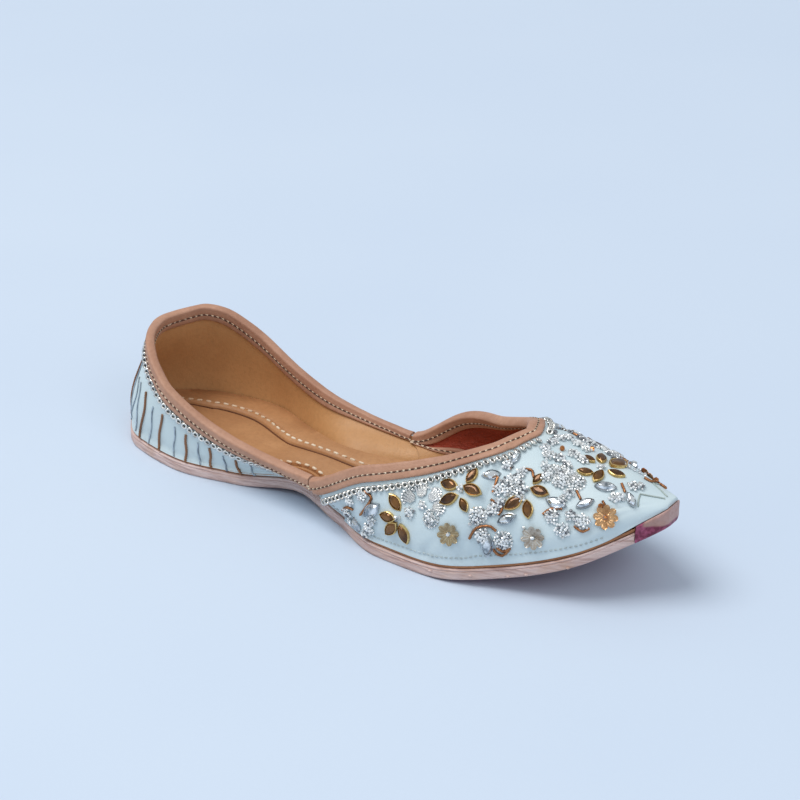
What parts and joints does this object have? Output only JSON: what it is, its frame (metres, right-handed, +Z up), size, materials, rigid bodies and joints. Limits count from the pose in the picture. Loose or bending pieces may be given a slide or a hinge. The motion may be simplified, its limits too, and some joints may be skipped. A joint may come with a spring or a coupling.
{
  "type": "mojari shoe",
  "caption": "Low slip-on shoe for the right foot: pointed upturned toe, open collar, folded leather bindings, leather sole and stitched insole.",
  "frame": {"origin": "on the floor under the heel, 32 mm in front of the back of the heel", "axes": "+X towards the toe, +Y towards the inner side of the foot, +Z up"},
  "size_m": [0.2545, 0.0826, 0.0495],
  "materials": {
    "sole_leather": "matt",
    "midsole_leather": "matt",
    "toe_leather": "satin",
    "insole_leather": "satin",
    "upper_fabric": "satin",
    "binding_leather": "satin"
  },
  "bodies": {
    "root": {"outsole": "sole_leather", "midsole": "midsole_leather", "toe_piece": "toe_leather", "insole": "insole_leather", "upper": "upper_fabric", "collar_binding": "binding_leather", "throat_binding": "binding_leather"}
  },
  "joints": []
}
